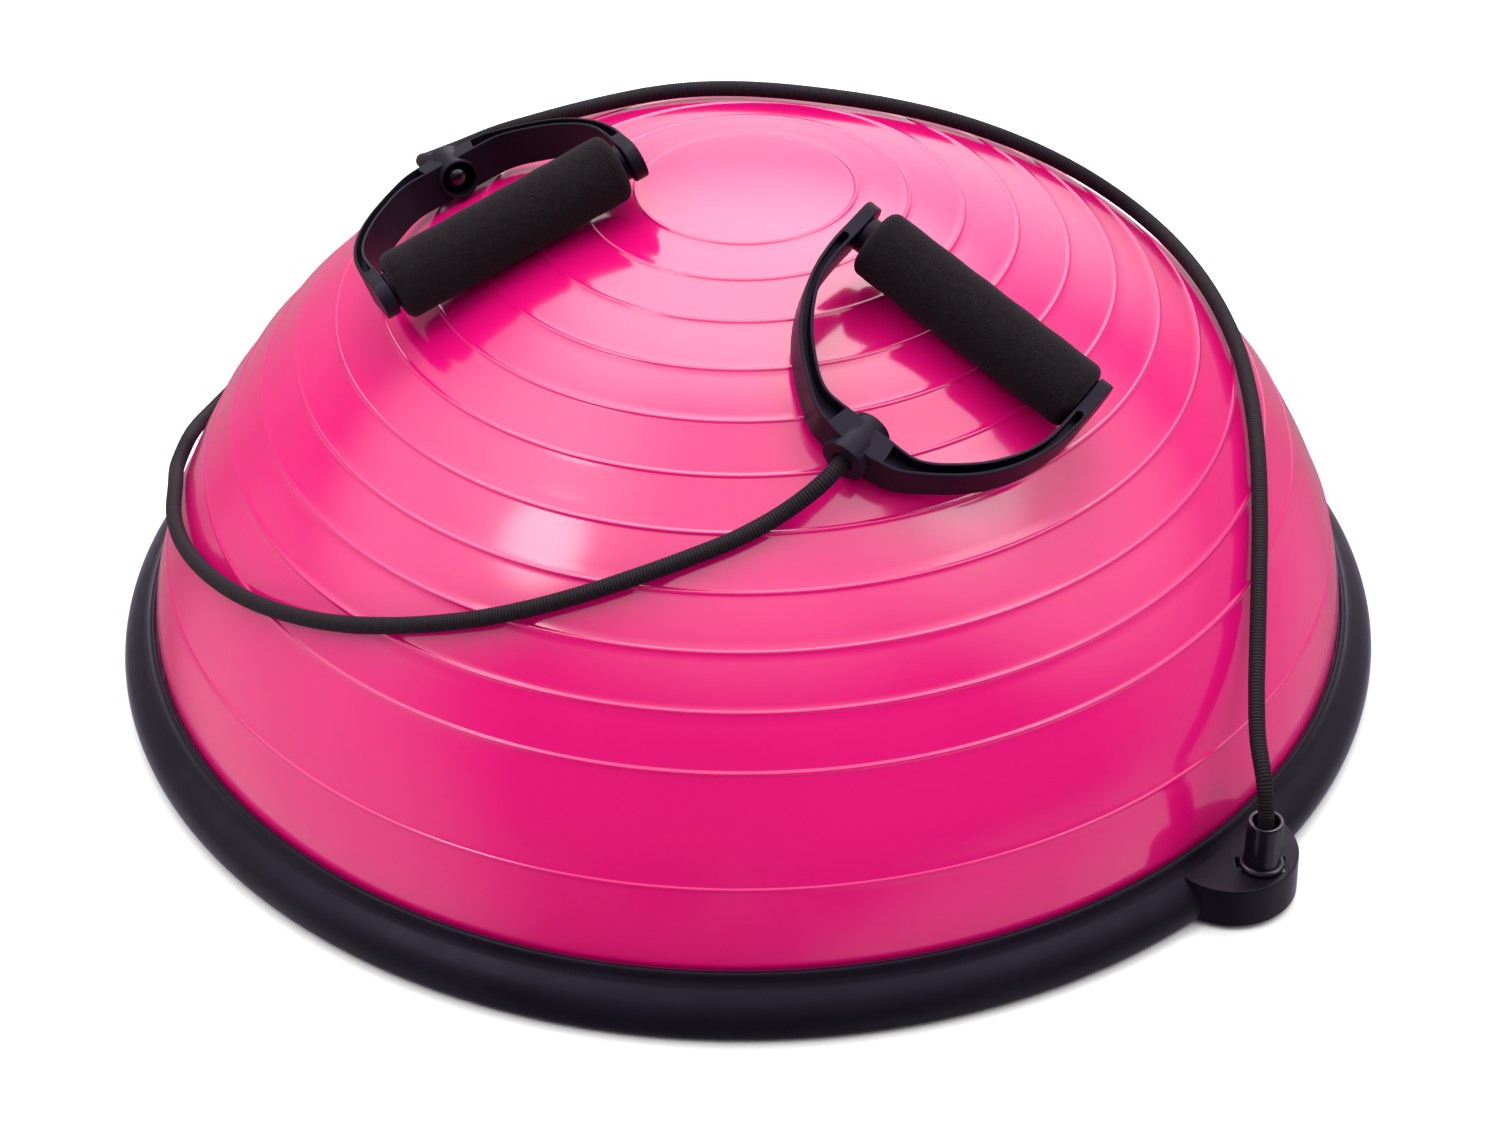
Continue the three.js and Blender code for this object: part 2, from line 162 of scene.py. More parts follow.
def prism(outline, z0, z1, low=0.0, high=0.0, matrix=None, name="prism"):
    """Prism with rounded edges: low and high are the edge radii at z0 and z1; a negative one flares out instead."""
    p = list(outline)
    if area2(p) < 0:
        p = p[::-1]
    p = np.array(p, float)
    rings = []
    if low:
        rings += [(low, z0), (low * 0.3, z0 + abs(low) * 0.3), (0, z0 + abs(low))]
    else:
        rings += [(0, z0)]
    if high:
        rings += [(0, z1 - abs(high)), (high * 0.3, z1 - abs(high) * 0.3), (high, z1)]
    else:
        rings += [(0, z1)]
    n = len(p)
    verts, faces = [], []
    for d, z in rings:
        q = inset(p, d) if d else p
        verts += [(x, y, z) for x, y in q]
    for i in range(len(rings) - 1):
        for k in range(n):
            m = (k + 1) % n
            faces.append((i * n + k, i * n + m, (i + 1) * n + m, (i + 1) * n + k))
    faces.append(tuple(range(n))[::-1])
    faces.append(tuple((len(rings) - 1) * n + k for k in range(n)))
    me = bpy.data.meshes.new(name)
    me.from_pydata([tuple(map(float, v)) for v in verts], [], faces)
    if matrix is not None:
        me.transform(matrix)
    bm = bmesh.new()
    bm.from_mesh(me)
    bmesh.ops.triangulate(bm, faces=[f for f in bm.faces if len(f.verts) > 4])
    bmesh.ops.recalc_face_normals(bm, faces=bm.faces)
    bm.to_mesh(me)
    bm.free()
    return me


def boolean(base, cuts, op):
    """Mesh of base with each of cuts joined or cut away."""
    a = bpy.data.objects.new("work", base)
    scene.collection.objects.link(a)
    for c in cuts:
        b = bpy.data.objects.new("tool", c)
        scene.collection.objects.link(b)
        mod = a.modifiers.new("b", "BOOLEAN")
        mod.operation = op
        mod.solver = "MANIFOLD"
        mod.object = b
        bpy.context.view_layer.update()
        made = bpy.data.meshes.new_from_object(a.evaluated_get(bpy.context.evaluated_depsgraph_get()))
        a.modifiers.clear()
        a.data = made
        bpy.data.objects.remove(b)
    me = a.data
    bpy.data.objects.remove(a)
    return me


def put(me, name, body, materials, stands_for=(), sharp=40, weighted=False, matrix=None):
    """The mesh, drawn in millimetres, as an object of the scene in metres that rides on a body."""
    if matrix is not None:
        me.transform(matrix)
    me.transform(Matrix.Scale(0.001, 4))
    me.name = name
    me.materials.clear()
    for m in materials if isinstance(materials, (list, tuple)) else [materials]:
        me.materials.append(m)
    me.shade_smooth()
    me.set_sharp_from_angle(angle=math.radians(sharp))
    o = bpy.data.objects.new(name, me)
    scene.collection.objects.link(o)
    if weighted:
        mod = o.modifiers.new("n", "WEIGHTED_NORMAL")
        mod.keep_sharp = True
        mod.weight = 80
        bpy.context.view_layer.update()
        made = bpy.data.meshes.new_from_object(o.evaluated_get(bpy.context.evaluated_depsgraph_get()))
        o.modifiers.clear()
        o.data = made
        made.name = name
    if body:
        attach(o, body)
    if stands_for:
        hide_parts(*([stands_for] if isinstance(stands_for, str) else stands_for))
    return o


# ------------------------------------------------------------------ materials
def lin(rgb):
    out = []
    for c in rgb:
        c = c / 255
        out.append(c / 12.92 if c <= 0.04045 else ((c + 0.055) / 1.055) ** 2.4)
    return (*out, 1.0)


class Mat:
    def __init__(self, name, color, rough, metal=0.0, **sockets):
        self.m = bpy.data.materials.new(name)
        self.m.use_nodes = True
        self.t = self.m.node_tree
        self.b = self.t.nodes["Principled BSDF"]
        self.b.inputs["Base Color"].default_value = lin(color)
        self.b.inputs["Roughness"].default_value = rough
        self.b.inputs["Metallic"].default_value = metal
        for k, v in sockets.items():
            self.b.inputs[k.replace("_", " ")].default_value = v
        self.co = self.t.nodes.new("ShaderNodeTexCoord")

    def link(self, a, b):
        self.t.links.new(a, b)

    def noise(self, scale, detail=3.0, rough=0.55, vector=None, stretch=None):
        n = self.t.nodes.new("ShaderNodeTexNoise")
        n.inputs["Scale"].default_value = scale
        n.inputs["Detail"].default_value = detail
        n.inputs["Roughness"].default_value = rough
        v = vector or self.co.outputs["Object"]
        if stretch:
            mp = self.t.nodes.new("ShaderNodeMapping")
            mp.inputs["Scale"].default_value = stretch
            self.link(v, mp.inputs["Vector"])
            v = mp.outputs["Vector"]
        self.link(v, n.inputs["Vector"])
        return n.outputs["Fac"]

    def cells(self, scale, feature="F1", vector=None):
        n = self.t.nodes.new("ShaderNodeTexVoronoi")
        n.feature = feature
        n.inputs["Scale"].default_value = scale
        self.link(vector or self.co.outputs["Object"], n.inputs["Vector"])
        return n.outputs["Distance"]

    def math(self, op, a, b=None, c=None):
        n = self.t.nodes.new("ShaderNodeMath")
        n.operation = op
        for i, v in enumerate((a, b, c)):
            if v is None:
                continue
            if isinstance(v, (int, float)):
                n.inputs[i].default_value = v
            else:
                self.link(v, n.inputs[i])
        return n.outputs[0]

    def span(self, fac, low, high, lo=0.3, hi=0.7):
        n = self.t.nodes.new("ShaderNodeMapRange")
        n.inputs["From Min"].default_value = lo
        n.inputs["From Max"].default_value = hi
        n.inputs["To Min"].default_value = low
        n.inputs["To Max"].default_value = high
        self.link(fac, n.inputs["Value"])
        return n.outputs["Result"]

    def color(self, fac, stops):
        n = self.t.nodes.new("ShaderNodeValToRGB")
        r = n.color_ramp
        while len(r.elements) > 1:
            r.elements.remove(r.elements[-1])
        r.elements[0].position = stops[0][0]
        r.elements[0].color = lin(stops[0][1])
        for p, c in stops[1:]:
            e = r.elements.new(p)
            e.color = lin(c)
        self.link(fac, n.inputs["Fac"])
        self.link(n.outputs["Color"], self.b.inputs["Base Color"])

    def roughness(self, fac, low, high, lo=0.3, hi=0.7):
        self.link(self.span(fac, low, high, lo, hi), self.b.inputs["Roughness"])

    def bump(self, *layers):
        """Each layer is (height 0..1, millimetres)."""
        normal = None
        for height, mm in layers:
            n = self.t.nodes.new("ShaderNodeBump")
            n.inputs["Strength"].default_value = 1.0
            n.inputs["Distance"].default_value = mm / 1000
            self.link(height, n.inputs["Height"])
            if normal is not None:
                self.link(normal, n.inputs["Normal"])
            normal = n.outputs["Normal"]
        self.link(normal, self.b.inputs["Normal"])
        return self


def vinyl(name, low, high, rough, coat):
    a = Mat(name, high, rough, Coat_Weight=coat, Coat_Roughness=0.06)
    a.color(a.noise(5, 2), [(0.35, low), (0.65, high)])
    a.roughness(a.noise(24, 3), rough - 0.03, rough + 0.05)
    a.bump((a.noise(9, 1.5), 0.5), (a.noise(420, 2), 0.006))
    return a.m


DOME = vinyl("vinyl", (194, 6, 96), (200, 8, 102), 0.13, 0.35)
# The ring ridges are real relief; their lighter, rougher pink is a painted highlight along each ridge.
RIB_PAINTED_HIGHLIGHT = vinyl("vinyl_rib_painted_highlight", (214, 62, 134), (220, 70, 141), 0.36, 0.0)


def moulded(name, low, high, rough, grain=0.012, coat=0.0, spec=0.5, sheen=0.0):
    a = Mat(name, high, rough, Coat_Weight=coat, Coat_Roughness=0.2, Specular_IOR_Level=spec, Sheen_Weight=sheen,
            Sheen_Roughness=0.3)
    a.b.inputs["Sheen Tint"].default_value = lin((190, 172, 212))
    a.b.inputs["Specular Tint"].default_value = lin((212, 190, 232))
    a.color(a.noise(18, 4), [(0.35, low), (0.65, high)])
    a.roughness(a.noise(60, 4), rough - 0.06, rough + 0.06)
    a.bump((a.noise(900, 3, 0.6), grain), (a.noise(30, 2), 0.05))
    return a.m


BASE = moulded("base_plastic", (12, 8, 16), (17, 12, 22), 0.4, spec=0.16, sheen=0.5)
HANDLE = moulded("handle_plastic", (16, 13, 21), (22, 18, 28), 0.4, spec=0.16)
ANCHOR = moulded("anchor_plastic", (12, 9, 16), (17, 13, 22), 0.24, 0.006, 0.2)
BALL = moulded("ball_plastic", (10, 10, 12), (15, 14, 17), 0.14, 0.002, 0.6)
VALVE = moulded("valve_plastic", (228, 226, 221), (238, 236, 232), 0.4, 0.006)

a = Mat("foam", (16, 12, 15), 0.95, Sheen_Weight=0.1, Sheen_Roughness=0.5, Specular_IOR_Level=0.15)
a.b.inputs["Sheen Tint"].default_value = lin((155, 132, 158))
a.color(a.noise(1500, 2, 0.7), [(0.38, (11, 6, 10)), (0.6, (20, 13, 18)), (0.74, (46, 35, 43))])
a.roughness(a.noise(300, 2), 0.88, 1.0)
a.bump((a.cells(950), 0.16), (a.noise(2200, 2, 0.7), 0.08), (a.noise(45, 3), 0.25))
FOAM = a.m

# Woven sleeve: fine ribs across the cord, crossed by the lay of the braid. The map runs round the cord and along it.
a = Mat("cord_sleeve", (14, 10, 14), 0.62, Sheen_Weight=0.06, Sheen_Roughness=0.4, Specular_IOR_Level=0.16)
a.b.inputs["Sheen Tint"].default_value = lin((155, 135, 155))
split = a.t.nodes.new("ShaderNodeSeparateXYZ")
a.link(a.co.outputs["UV"], split.inputs[0])
u, v = split.outputs[0], split.outputs[1]
tau = 2 * math.pi
ribs = a.math("SINE", a.math("MULTIPLY", v, tau * 16))
lay1 = a.math("SINE", a.math("ADD", a.math("MULTIPLY", u, tau * 12), a.math("MULTIPLY", v, tau * 10)))
lay2 = a.math("SINE", a.math("SUBTRACT", a.math("MULTIPLY", u, tau * 12), a.math("MULTIPLY", v, tau * 10)))
weave = a.math("MULTIPLY", lay1, lay2)
height = a.math("ADD", a.math("MULTIPLY", ribs, 0.5), a.math("MULTIPLY", weave, 0.5))
weave_relief_and_shade = a.span(height, 0.0, 1.0, -1.0, 1.0)
# The colour follows the weave height: near black down in the grooves is painted shade, and the crests carry the
# sleeve's lighter tone.
a.color(weave_relief_and_shade, [(0.0, (3, 1, 3)), (0.45, (10, 6, 10)), (1.0, (44, 26, 42))])
a.roughness(weave_relief_and_shade, 0.7, 0.55, 0.0, 1.0)
a.bump((weave_relief_and_shade, 0.36), (a.noise(1500, 2), 0.05))
CORD = a.m

a = Mat("foot_rubber", (22, 22, 22), 0.8)
a.color(a.noise(40, 3), [(0.3, (17, 17, 17)), (0.7, (27, 27, 27))])
a.roughness(a.noise(200, 3), 0.7, 0.9)
a.bump((a.noise(700, 3), 0.05))
RUBBER = a.m

a = Mat("zinc_steel", (190, 193, 198), 0.32, 1.0)
a.color(a.noise(160, 4), [(0.3, (170, 173, 178)), (0.7, (200, 203, 208))])
a.roughness(a.noise(500, 3), 0.25, 0.42)
a.bump((a.noise(900, 3), 0.01))
STEEL = a.m


# ------------------------------------------------------------------ cords
CORD_R = 3.75
CORD_1 = [[226.8,-222.9,24.5],[226.9,-223.2,44.9],[225.5,-217.7,63.9],[223.56,-201.73,76.86],[224.31,-184.28,88.28],[226.19,-166.26,98.89],[228.23,-148.23,109.29],[230.24,-129.97,119.24],[232.23,-111.41,128.48],[234.54,-81.94,140.63],[235.49,-52.06,148.86],[234.93,-31.32,153.39],[233.11,-10.27,157.35],[229.55,11.14,160.74],[224.17,32.6,163.87],[216.6,54.18,166.84],[206.28,74.77,170.33],[192.27,89.52,176.85],[175.01,93.55,188.37],[156.52,93.91,200.25],[137.36,93.8,210.55],[117.95,93.52,219.21],[98.32,93.43,226.22],[78.29,93.85,231.53],[58.19,95.09,235.21],[37.8,97.23,237.39],[17.61,101.65,237.65],[-2.5,106.52,236.5],[-22.84,109.81,234.58],[-43.39,109.54,232.49],[-63.55,106.28,230.1],[-83.3,99.0,228.9],[-103.0,98.8,223.3],[-120.7,104.5,214.7],[-138.8,106.7,205.9],[-153.0,93.5,206.8],[-154.0,75.3,215.9],[-147.2,60.0,224.0],[-142.1,52.7,227.05],[-139.97,47.2,228.24],[-137.57,40.98,229.58]]
CORD_2 = [[44.63,-173.51,213.13],[40.54,-178.64,211.37],[36.92,-183.17,209.81],[29.4,-188.9,205.1],[14.5,-193.85,195.54],[-3.6,-200.95,188.76],[-22.61,-206.21,183.31],[-42.04,-209.94,177.59],[-61.58,-212.07,171.4],[-81.13,-212.18,164.7],[-100.7,-210.37,157.88],[-119.98,-206.5,151.29],[-148.25,-196.97,141.73],[-174.81,-183.23,132.41],[-191.57,-171.66,126.51],[-207.27,-158.26,120.93],[-221.7,-143.36,115.58],[-234.87,-126.91,110.54],[-246.71,-108.95,105.69],[-257.06,-89.51,101.01],[-265.89,-68.1,96.45],[-272.57,-44.04,93.0],[-276.87,-11.61,87.82],[-280.52,14.79,80.25],[-279.69,27.3,80.04],[-277.97,37.23,80.92],[-277.22,58.16,74.52],[-275.16,77.3,68.48],[-271.66,94.1,64.55],[-266.63,108.81,63.36],[-259.95,120.55,66.48],[-251.81,130.64,72.55],[-242.38,138.31,82.08],[-232.25,145.66,91.82],[-222.04,151.75,101.46],[-213.03,158.88,107.31],[-206.56,166.07,109.84],[-203.63,175.09,107.04],[-204.34,184.33,101.1],[-208.04,194.55,92.3],[-213.44,203.92,83.54],[-219.12,212.57,75.16],[-223.86,219.01,67.83],[-226.7,222.85,60.0],[-226.8,222.9,50.0],[-226.8,222.9,40.0],[-226.8,222.9,24.5]]


def tube(points, radius, sides, name):
    """Mesh tube with closed ends and a map: u round it, v along it in circumferences."""
    p = np.array(points, float)
    t = np.gradient(p, axis=0)
    t /= np.linalg.norm(t, axis=1)[:, None]
    side = np.cross(t[0], [0.3, 0.2, 0.93])
    side /= np.linalg.norm(side)
    verts, length, along = [], 0.0, []
    for i in range(len(p)):
        if i:
            length += float(np.linalg.norm(p[i] - p[i - 1]))
            side = side - t[i] * (side @ t[i])
            side /= np.linalg.norm(side)
        other = np.cross(t[i], side)
        along.append(length)
        verts += [tuple(p[i] + radius * (math.cos(tau * k / sides) * side + math.sin(tau * k / sides) * other)) for k in range(sides)]
    faces = [(i * sides + k, i * sides + (k + 1) % sides, (i + 1) * sides + (k + 1) % sides, (i + 1) * sides + k) for i in range(len(p) - 1) for k in range(sides)]
    faces.append(tuple(range(sides))[::-1])
    faces.append(tuple((len(p) - 1) * sides + k for k in range(sides)))
    me = bpy.data.meshes.new(name)
    me.from_pydata([tuple(map(float, q)) for q in verts], [], faces)
    uv = me.uv_layers.new(name="along")
    for f in me.polygons:
        ks = [me.loops[li].vertex_index % sides for li in f.loop_indices]
        wrap = 0 in ks and sides - 1 in ks and len(ks) == 4
        for li, k in zip(f.loop_indices, ks):
            i = me.loops[li].vertex_index // sides
            uv.data[li].uv = ((k + (sides if wrap and k == 0 else 0)) / sides, along[i] / (tau * radius))
    return me, length


def cord(points, name):
    line = catmull(points, 2.0)
    me, length = tube(line, CORD_R, 20, name)
    me.transform(Matrix.Scale(0.001, 4))
    me.materials.append(CORD)
    me.shade_smooth()
    me.set_sharp_from_angle(angle=math.radians(60))
    o = bpy.data.objects.new(name, me)
    scene.collection.objects.link(o)
    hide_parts(name)
    o.name = "sleeve_" + name[-1]
    me.name = o.name
    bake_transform(o)
    return o


cord(CORD_1, "cord_1")
cord(CORD_2, "cord_2")


# ------------------------------------------------------------------ dome
DOME_R, RISE, DOME_Z, EN, EM = 291.4, 213.9, 32.43, 2.31742, 1.46942
LEAN = (1.47, -3.0)


def dome_z(r, big=DOME_R, rise=RISE):
    return DOME_Z + rise * max(0.0, 1 - (r / big) ** EN) ** (1 / EM)


RINGS = [50.7, 75.1, 100.1, 125.2, 148.9, 171.1, 192.1, 211.7, 229.3, 245.4, 259.9, 282.8]
curve = [(DOME_R * math.sin(t * math.pi / 2), dome_z(DOME_R * math.sin(t * math.pi / 2))) for t in np.linspace(0, 1, 4001)]
curve = np.array(curve)
arc = np.r_[0, np.cumsum(np.linalg.norm(np.diff(curve, axis=0), axis=1))]
marks = [float(np.interp(r, curve[:, 0], arc)) for r in RINGS]
SHAPE = [(-1.5, 0), (-1.1, 0.08), (-0.8, 0.3), (-0.45, 0.53), (0, 0.62), (0.45, 0.53), (0.8, 0.3), (1.1, 0.08), (1.5, 0)]
stations = [(s, 0.0, False) for s in np.linspace(0, arc[-1], 90) if all(abs(s - m) > 2.2 for m in marks)]
stations += [(m + ds, h, True) for m in marks for ds, h in SHAPE]
stations.sort()
profile, on_rib = [], []
for s, h, rib in stations:
    r, z = float(np.interp(s, arc, curve[:, 0])), float(np.interp(s, arc, curve[:, 1]))
    r2, z2 = float(np.interp(s + 0.5, arc, curve[:, 0])), float(np.interp(s + 0.5, arc, curve[:, 1]))
    r1, z1 = float(np.interp(s - 0.5, arc, curve[:, 0])), float(np.interp(s - 0.5, arc, curve[:, 1]))
    nr, nz = -(z2 - z1), (r2 - r1)
    n = math.hypot(nr, nz) or 1
    profile.append((max(0.0, r + h * nr / n), z + h * nz / n))
profile[0] = (0.0, profile[0][1])
inner = [((DOME_R - 2.5) * math.sin(t * math.pi / 2), dome_z((DOME_R - 2.5) * math.sin(t * math.pi / 2), DOME_R - 2.5, RISE - 2.5)) for t in np.linspace(1, 0, 40)]
inner[-1] = (0.0, inner[-1][1])
whole = profile + [(DOME_R, 24), (DOME_R, 14.1), (295.0, 14.1), (295.4, 13.7), (295.4, 9.9), (295.0, 9.5), (8.0, 9.5), (8.0, 12.0), (288.9, 12.0)] + inner
me = lathe(whole, 288, closed=False, name="dome_skin")
lo = [z for r, z in profile]
# Faces on the ring ridges take the second material, the lighter pink that paints a highlight along each ridge.
for f in me.polygons:
    c = f.center
    r = math.hypot(c.x, c.y)
    if c.z > 30:
        near = min(range(12), key=lambda i: abs(r - RINGS[i]))
        s = float(np.interp(min(r, DOME_R), curve[:, 0], arc))
        if abs(s - marks[near]) < 0.95 and c.z > dome_z(min(r, DOME_R - 0.01)) - 0.4:
            f.material_index = 1
for v in me.vertices:
    u = min(1.0, max(0.0, (v.co.z - 30) / 60))
    k = u * u * (3 - 2 * u)
    v.co.x += LEAN[0] * k
    v.co.y += LEAN[1] * k
put(me, "dome_skin", "base_and_dome", [DOME, RIB_PAINTED_HIGHLIGHT], "dome_bladder", sharp=60)

# ------------------------------------------------------------------ base ring with its lugs
LUG_AZ = math.radians(-44.4)
LUG = [(300.5 * math.cos(LUG_AZ + k * math.pi), 300.5 * math.sin(LUG_AZ + k * math.pi)) for k in (0, 1)]
ANCHOR_XY = [(226.8, -222.9), (-226.8, 222.9)]
skirt = catmull([(308.2, 2.5), (309.2, 5), (309.5, 9), (308.2, 13.6), (305.0, 17.8), (301.4, 20.8), (299.0, 22.4)], 0.9)
lip = catmull([(298.4, 22.9), (296.6, 24.9), (295.4, 27.2), (294.6, 28.0), (293.6, 28.2), (292.7, 27.9), (292.2, 27.1)], 0.6)
section = [tuple(map(float, q)) for q in skirt] + [tuple(map(float, q)) for q in lip] + [
    (292.1, 26), (292.1, 14.4), (294.9, 14.4), (294.9, 21.0), (296.6, 20.4), (299.6, 18.2), (303.2, 15.2), (305.6, 12.2), (306.6, 9), (306.5, 5), (305.4, 2.5)]
ring = lathe(section, 288)
T = Matrix.Translation
tops = []
for cx, cy in LUG:
    disc = lathe([(0, 2.53), (30.9, 2.53), (31.2, 2.93), (30.6, 21.4), (30.3, 22.15), (29.6, 22.5), (0, 22.5)], 127, matrix=T((cx, cy, 0)))
    core = lathe([(0, -5), (303.8, -5), (303.8, 15.6), (300.2, 18.6), (297.6, 20.6), (297.6, 30), (0, 30)], 288)
    tops.append(boolean(disc, [core], "DIFFERENCE"))
ring = boolean(ring, tops, "UNION")
cuts = []
for i, (cx, cy) in enumerate(LUG):
    hollow = lathe([(0, -1), (27.5, -1), (27.5, 17.7), (26.7, 18.5), (0, 18.5)], 96, matrix=T((cx, cy, 0)))
    keep = lathe([(0, -5), (303.5, -5), (303.5, 40), (0, 40)], 288)
    cuts.append(boolean(hollow, [keep], "DIFFERENCE"))
    ax, ay = ANCHOR_XY[i]
    cuts.append(lathe([(0, 10), (8.2, 10), (8.2, 22.1), (8.7, 22.6), (8.7, 30), (0, 30)], 64, matrix=T((ax, ay, 0))))
    slot = [(11.3 * (1 if q in (0, 1) else -1) * 1.0, 5.1 * (1 if q in (1, 2) else -1)) for q in (0, 1, 2, 3)]
    cuts.append(prism(slot, 10, 22.52, 0, -0.35, T((ax, ay, 0))))
ring = boolean(ring, cuts, "DIFFERENCE")
bosses, holes = [], []
for k in range(8):
    t = LUG_AZ + (k + 0.5) * tau / 8
    x, y = 300.2 * math.cos(t), 300.2 * math.sin(t)
    bosses.append(lathe([(0, 9.6), (4, 9.6), (4, 17.4), (0, 17.4)], 24, matrix=T((x, y, 0))))
    holes.append(lathe([(0, 8), (2.2, 8), (2.2, 15.4), (0, 15.4)], 20, matrix=T((x, y, 0))))
ring = boolean(ring, bosses, "UNION")
ring = boolean(ring, holes, "DIFFERENCE")
put(ring, "base_shell", "base_and_dome", BASE, "base_ring", sharp=35, weighted=True)

# ------------------------------------------------------------------ feet and screws
for k in range(6):
    t = LUG_AZ + k * tau / 6
    rings = [(0, 0.5), (4.0, 0.5), (4.6, 0.0), (8.4, 0.0), (9.0, 0.5), (9.6, 0.5), (10.2, 0.0), (13.6, 0.0), (14.2, 0.5), (14.8, 0.5), (15.4, 0), (16.5, 0.0), (17.5, 0.4), (18, 1.2), (18, 4.5), (17.6, 4.9), (3.9, 4.9), (3.9, 8.7), (3.6, 8.9), (0, 8.9)]
    put(lathe(rings, 64, matrix=T((255 * math.cos(t), 255 * math.sin(t), 0))), f"foot_{k + 1}", "base_and_dome", RUBBER, f"rubber_foot_{k + 1}", sharp=35)
screw = lathe([(0, 3), (2.6, 3), (3.2, 3.25), (3.45, 3.8), (3.45, 4.9), (1.9, 4.9), (1.9, 14), (0, 15)], 32)
cross = []
for q in (0, 1):
    cross.append(prism([(-2.1, -0.35), (2.1, -0.35), (2.1, 0.35), (-2.1, 0.35)], 2.5, 4.2, 0, 0, Matrix.Rotation(q * math.pi / 2, 4, "Z")))
screw = boolean(screw, cross, "DIFFERENCE")
for k in range(8):
    t = LUG_AZ + (k + 0.5) * tau / 8
    put(screw.copy(), f"screw_{k + 1}", "base_and_dome", STEEL, f"base_screw_{k + 1}", sharp=35,
        matrix=T((300.2 * math.cos(t), 300.2 * math.sin(t), 0)) @ Matrix.Rotation(t * 3, 4, "Z"))

# ------------------------------------------------------------------ valve and base plate
put(lathe([(4.6, 6.9), (4.9, 6.6), (11.6, 6.6), (12, 7.0), (12, 9.2), (7.6, 9.2), (7.6, 12.3), (10, 12.3), (10, 13.6), (4.6, 14.3)], 64), "valve_body", "base_and_dome", VALVE, "valve_seat", sharp=35)
put(lathe([(0, 4.3), (4.6, 4.3), (5.0, 4.0), (7, 4.0), (7.8, 4.3), (8, 4.9), (8, 6.3), (4.2, 6.3), (4.2, 13.2), (3.2, 14.6), (0, 14.6)], 64), "valve_stopper", "valve_plug", VALVE, "valve_plug", sharp=35)
for n in ("base_plate",):
    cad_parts[n].data.materials.clear()
    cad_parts[n].data.materials.append(BASE)

# ------------------------------------------------------------------ cord anchors
for i, (ax, ay) in enumerate(ANCHOR_XY):
    plug = lathe([(6, 9.3), (6.3, 9), (7.5, 9), (7.8, 9.3), (7.8, 22.8), (9.5, 22.8), (10, 23.2), (10, 24.5), (9.6, 25.0), (9.0, 25.1), (8.5, 25.3), (8.15, 26.0),
                  (8.1, 46.9), (8.0, 47.9), (7.6, 48.4), (7.1, 48.5), (6.5, 48.5), (6.05, 48.2), (5.9, 47.6), (5.9, 27.4), (4.4, 25.8), (4.3, 20.2), (6, 20.2)], 96)
    ears = prism([(-4.6, -8.4), (-2.5, -9.2), (0, -9.6), (2.5, -9.2), (4.6, -8.4), (4.6, 8.4), (2.5, 9.2), (0, 9.6), (-2.5, 9.2), (-4.6, 8.4)], 14.2, 18.2, 0.4, 0.4)
    ears = boolean(ears, [lathe([(0, 10), (7.0, 10), (7.0, 22), (0, 22)], 64)], "DIFFERENCE")
    plug = boolean(plug, [ears], "UNION")
    put(plug, f"plug_{i + 1}", f"anchor_{i + 1}", ANCHOR, f"anchor_plug_{i + 1}", sharp=35, weighted=True, matrix=T((ax, ay, 0)))
    bead = lathe([(0, 12.6), (4.4, 12.6), (5.2, 12.9), (5.6, 13.7), (5.6, 19.2), (5.3, 19.9), (3.6, 19.9), (3.6, 24.2), (0, 24.2)], 48)
    put(bead, f"bead_{i + 1}", f"anchor_{i + 1}", BALL, f"anchor_stop_{i + 1}", sharp=40, matrix=T((ax, ay, 0)))

# ------------------------------------------------------------------ handles
HANDLES = [
    ((-105.68, -42.01, 247.54), (0.8635, 0.3987, 0.30888), (-0.35165, 0.91496, -0.19797), -0.5),
    ((99.3, -105.07, 236.67), (-0.77258, 0.47045, 0.42638), (-0.60271, -0.75459, -0.25951), -2.2),
]
BOW_OUT = [(67, 4), (66.9, 18), (64.9, 33), (60.4, 47), (53.9, 59.4), (46.6, 69), (38.6, 76.8), (30, 84), (21, 90), (8, 93)]
BOW_IN = [(60.5, 4), (60.5, 20), (59.6, 31), (56.8, 41), (52, 50.6), (45.6, 60), (37.6, 68.6), (29, 76), (22.5, 79), (8, 79.4)]


def flip(p):
    return [(-x, y) for x, y in p]


def smooth(p, step=1.6):
    return [tuple(map(float, q)) for q in catmull(p, step)]


def frame_of(x, y):
    x = Vector(x).normalized()
    y = Vector(y)
    y = (y - x * x.dot(y)).normalized()
    return x, y, x.cross(y)


ALONG_X = Matrix(((0, 0, 1, 0), (1, 0, 0, 0), (0, 1, 0, 0), (0, 0, 0, 1)))
ALONG_Y = Matrix(((0, 1, 0, 0), (0, 0, 1, 0), (1, 0, 0, 0), (0, 0, 0, 1)))


